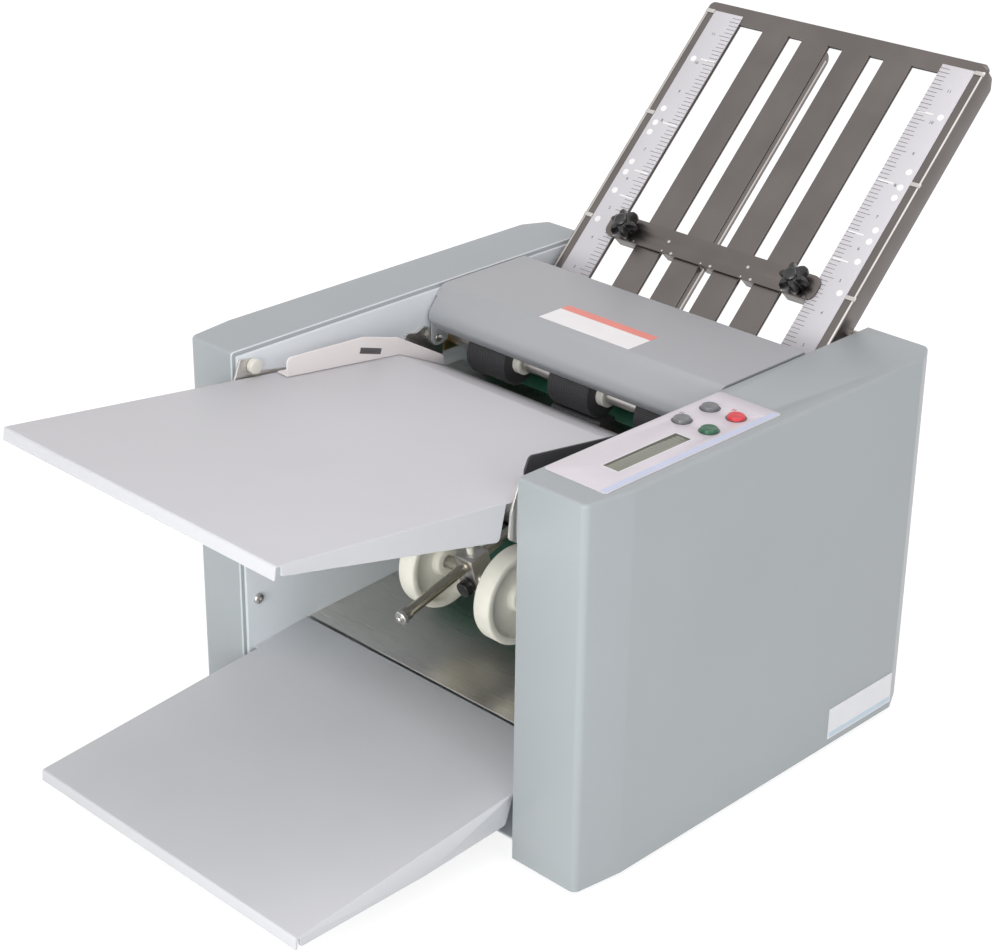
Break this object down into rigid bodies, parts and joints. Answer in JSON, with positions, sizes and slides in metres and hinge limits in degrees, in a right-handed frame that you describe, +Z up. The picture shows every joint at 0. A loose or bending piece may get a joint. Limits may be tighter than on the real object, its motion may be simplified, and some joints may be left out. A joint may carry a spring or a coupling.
{
  "type": "desktop paper folding machine",
  "caption": "Desk paper folder: sloping feed table, friction feed rollers, fold rollers, slotted fold plates with sliding stops, stacker wheels over an output tray.",
  "frame": {"origin": "on the desk plane, under the middle of the machine's bounding box", "axes": "+X to the control panel side, +Y to the rear, +Z up"},
  "size_m": [0.3606, 0.6388, 0.4159],
  "materials": {
    "belt_rubber": "matt",
    "black_plastic": "matt",
    "black_rubber": "matt",
    "blank_film": "satin",
    "board": "matt",
    "bright_steel": "brushed",
    "bush_brass": "satin",
    "cover_paint": "satin",
    "cream_plastic": "matt",
    "dark_guide": "satin",
    "dark_steel": "brushed",
    "display_glass": "gloss",
    "frame_paint": "satin",
    "green_button": "satin",
    "green_rubber": "matt",
    "grey_button": "satin",
    "motor_metal": "satin",
    "pale_guide": "satin",
    "panel_film": "satin",
    "red_button": "satin",
    "ruler_metal": "satin",
    "table_paint": "satin",
    "white_plastic": "matt"
  },
  "bodies": {
    "machine": {"base_pan": "frame_paint", "control_overlay": "panel_film", "cross_bars": "bright_steel", "drive_belts": "belt_rubber", "drive_motor": "motor_metal", "electronics": "board", "feed_table": "table_paint", "frame_brackets": "bright_steel", "frame_rods": "bright_steel", "inlet_and_switch": "black_plastic", "lcd_window": "display_glass", "left_cover": "cover_paint", "left_side_frame": "frame_paint", "lower_fold_plate": "dark_steel", "output_tray": "table_paint", "paper_chutes": "bright_steel", "right_cover": "cover_paint", "right_side_frame": "frame_paint", "rubber_feet": "black_rubber", "ruler_strips": "ruler_metal", "separator_pad": "black_rubber", "shaft_bushes": "bush_brass", "side_blank_plate": "blank_film", "table_knobs": "white_plastic", "upper_fold_plate": "dark_steel"},
    "left_guide": {"left_paper_guide": "pale_guide"},
    "right_guide": {"right_paper_guide": "dark_guide"},
    "lid": {"top_cover": "cover_paint"},
    "feed": {"feed_shaft": "bright_steel", "feed_rollers": "black_rubber", "feed_collars": "white_plastic"},
    "idler": {"idler_gear": "white_plastic"},
    "exit_upper": {"exit_roller_upper": "green_rubber"},
    "exit_lower": {"exit_roller_lower": "green_rubber"},
    "motor_rotor": {"motor_shaft": "bright_steel"},
    "upper_stop": {"upper_stop_bar": "dark_steel"},
    "upper_knob_l": {"upper_knob_left": "black_plastic"},
    "upper_knob_r": {"upper_knob_right": "black_plastic"},
    "lower_stop": {"lower_stop_bar": "dark_steel"},
    "lower_knob_l": {"lower_knob_left": "black_plastic"},
    "lower_knob_r": {"lower_knob_right": "black_plastic"},
    "stacker_arm": {"stacker_rod": "bright_steel"},
    "stacker_carriage": {"stacker_block": "bright_steel"},
    "thumb_screw": {"stacker_thumb_screw": "black_plastic"},
    "wheels": {"stacker_axle": "bright_steel", "stacker_wheels": "cream_plastic"},
    "rocker": {"rocker_switch": "black_plastic"},
    "fold_1": {"fold_roller_1_shaft": "bright_steel", "fold_roller_1_rubber": "green_rubber"},
    "fold_2": {"fold_roller_2_shaft": "bright_steel", "fold_roller_2_rubber": "green_rubber"},
    "fold_3": {"fold_roller_3_shaft": "bright_steel", "fold_roller_3_rubber": "green_rubber"},
    "fold_4": {"fold_roller_4_shaft": "bright_steel", "fold_roller_4_rubber": "green_rubber"},
    "button_left": {"button_left": "grey_button"},
    "button_top": {"button_top": "grey_button"},
    "button_start": {"button_start": "green_button"},
    "button_stop": {"button_stop": "red_button"}
  },
  "joints": [
    {"name": "left_guide_slide", "type": "slide", "parent": "machine", "child": "left_guide", "axis": [1, 0, 0], "range_m": [0, 0.055]},
    {"name": "right_guide_slide", "type": "slide", "parent": "machine", "child": "right_guide", "axis": [-1, 0, 0], "range_m": [0, 0.055]},
    {"name": "lid_hinge", "type": "hinge", "parent": "machine", "child": "lid", "pos_m": [-0.00525, 0.03651, 0.226], "axis": [1, 0, 0], "range_deg": [0, 50]},
    {"name": "fold_2_spin", "type": "hinge", "parent": "machine", "child": "fold_2", "pos_m": [-0.00525, 0.10131, 0.18358], "axis": [1, 0, 0], "continuous": true},
    {"name": "fold_1_spin", "type": "hinge", "parent": "machine", "child": "fold_1", "pos_m": [-0.00525, 0.08951, 0.216], "axis": [1, 0, 0], "continuous": true},
    {"name": "fold_3_spin", "type": "hinge", "parent": "machine", "child": "fold_3", "pos_m": [-0.00525, 0.13373, 0.19538], "axis": [1, 0, 0], "continuous": true},
    {"name": "fold_4_spin", "type": "hinge", "parent": "machine", "child": "fold_4", "pos_m": [-0.00525, 0.11163, 0.15066], "axis": [1, 0, 0], "continuous": true},
    {"name": "feed_spin", "type": "hinge", "parent": "machine", "child": "feed", "pos_m": [-0.00525, 0.05251, 0.223], "axis": [1, 0, 0], "continuous": true},
    {"name": "idler_spin", "type": "hinge", "parent": "machine", "child": "idler", "pos_m": [-0.14925, 0.06936, 0.23282], "axis": [1, 0, 0], "continuous": true},
    {"name": "exit_upper_spin", "type": "hinge", "parent": "machine", "child": "exit_upper", "pos_m": [-0.00525, 0.02251, 0.096], "axis": [1, 0, 0], "continuous": true},
    {"name": "exit_lower_spin", "type": "hinge", "parent": "machine", "child": "exit_lower", "pos_m": [-0.00525, 0.04709, 0.07879], "axis": [1, 0, 0], "continuous": true},
    {"name": "motor_spin", "type": "hinge", "parent": "machine", "child": "motor_rotor", "pos_m": [-0.13325, 0.09251, 0.052], "axis": [1, 0, 0], "continuous": true},
    {"name": "upper_stop_slide", "type": "slide", "parent": "machine", "child": "upper_stop", "axis": [0, 0.7071, 0.7071], "range_m": [-0.04, 0.165]},
    {"name": "lower_stop_slide", "type": "slide", "parent": "machine", "child": "lower_stop", "axis": [0, 0.342, -0.9397], "range_m": [-0.025, 0.03]},
    {"name": "upper_knob_l_turn", "type": "hinge", "parent": "upper_stop", "child": "upper_knob_l", "pos_m": [-0.08105, 0.18115, 0.28153], "axis": [0, -0.7071, 0.7071], "range_deg": [0, 180]},
    {"name": "upper_knob_r_turn", "type": "hinge", "parent": "upper_stop", "child": "upper_knob_r", "pos_m": [0.07055, 0.18115, 0.28153], "axis": [0, -0.7071, 0.7071], "range_deg": [0, 180]},
    {"name": "lower_knob_l_turn", "type": "hinge", "parent": "lower_stop", "child": "lower_knob_l", "pos_m": [-0.08105, 0.15439, 0.09755], "axis": [0, 0.9397, 0.342], "range_deg": [0, 180]},
    {"name": "lower_knob_r_turn", "type": "hinge", "parent": "lower_stop", "child": "lower_knob_r", "pos_m": [0.07055, 0.15439, 0.09755], "axis": [0, 0.9397, 0.342], "range_deg": [0, 180]},
    {"name": "stacker_arm_hinge", "type": "hinge", "parent": "machine", "child": "stacker_arm", "pos_m": [-0.00525, 0.00751, 0.1453], "axis": [-1, 0, 0], "range_deg": [0, 25]},
    {"name": "stacker_block_slide", "type": "slide", "parent": "stacker_arm", "child": "stacker_carriage", "axis": [0, 0.9636, 0.2672], "range_m": [-0.04, 0.015]},
    {"name": "thumb_screw_turn", "type": "hinge", "parent": "stacker_carriage", "child": "thumb_screw", "pos_m": [-0.00525, -0.04634, 0.11428], "axis": [0, 0.9636, 0.2672], "range_deg": [0, 180]},
    {"name": "stacker_wheels_spin", "type": "hinge", "parent": "stacker_carriage", "child": "wheels", "pos_m": [-0.00525, -0.04549, 0.116], "axis": [1, 0, 0], "continuous": true},
    {"name": "button_left_press", "type": "slide", "parent": "machine", "child": "button_left", "axis": [0, 0, -1], "range_m": [0, 0.0015], "stiffness_N_per_m": 400, "springref_m": -0.001},
    {"name": "button_top_press", "type": "slide", "parent": "machine", "child": "button_top", "axis": [0, 0, -1], "range_m": [0, 0.0015], "stiffness_N_per_m": 400, "springref_m": -0.001},
    {"name": "button_start_press", "type": "slide", "parent": "machine", "child": "button_start", "axis": [0, 0, -1], "range_m": [0, 0.0015], "stiffness_N_per_m": 400, "springref_m": -0.001},
    {"name": "button_stop_press", "type": "slide", "parent": "machine", "child": "button_stop", "axis": [0, 0, -1], "range_m": [0, 0.0015], "stiffness_N_per_m": 400, "springref_m": -0.001},
    {"name": "rocker_tilt", "type": "hinge", "parent": "machine", "child": "rocker", "pos_m": [0.14875, 0.18451, 0.078], "axis": [1, 0, 0], "range_deg": [0, 16]}
  ],
  "couplings": [
    {"joint": "fold_1_spin", "follows": "fold_2_spin", "ratio": -1},
    {"joint": "fold_3_spin", "follows": "fold_2_spin", "ratio": -1},
    {"joint": "fold_4_spin", "follows": "fold_2_spin", "ratio": -1},
    {"joint": "idler_spin", "follows": "fold_2_spin", "ratio": 1.9167},
    {"joint": "feed_spin", "follows": "fold_2_spin", "ratio": -1.6429},
    {"joint": "exit_lower_spin", "follows": "fold_2_spin", "ratio": -1},
    {"joint": "exit_upper_spin", "follows": "fold_2_spin", "ratio": 1},
    {"joint": "motor_spin", "follows": "fold_2_spin", "ratio": -2}
  ]
}
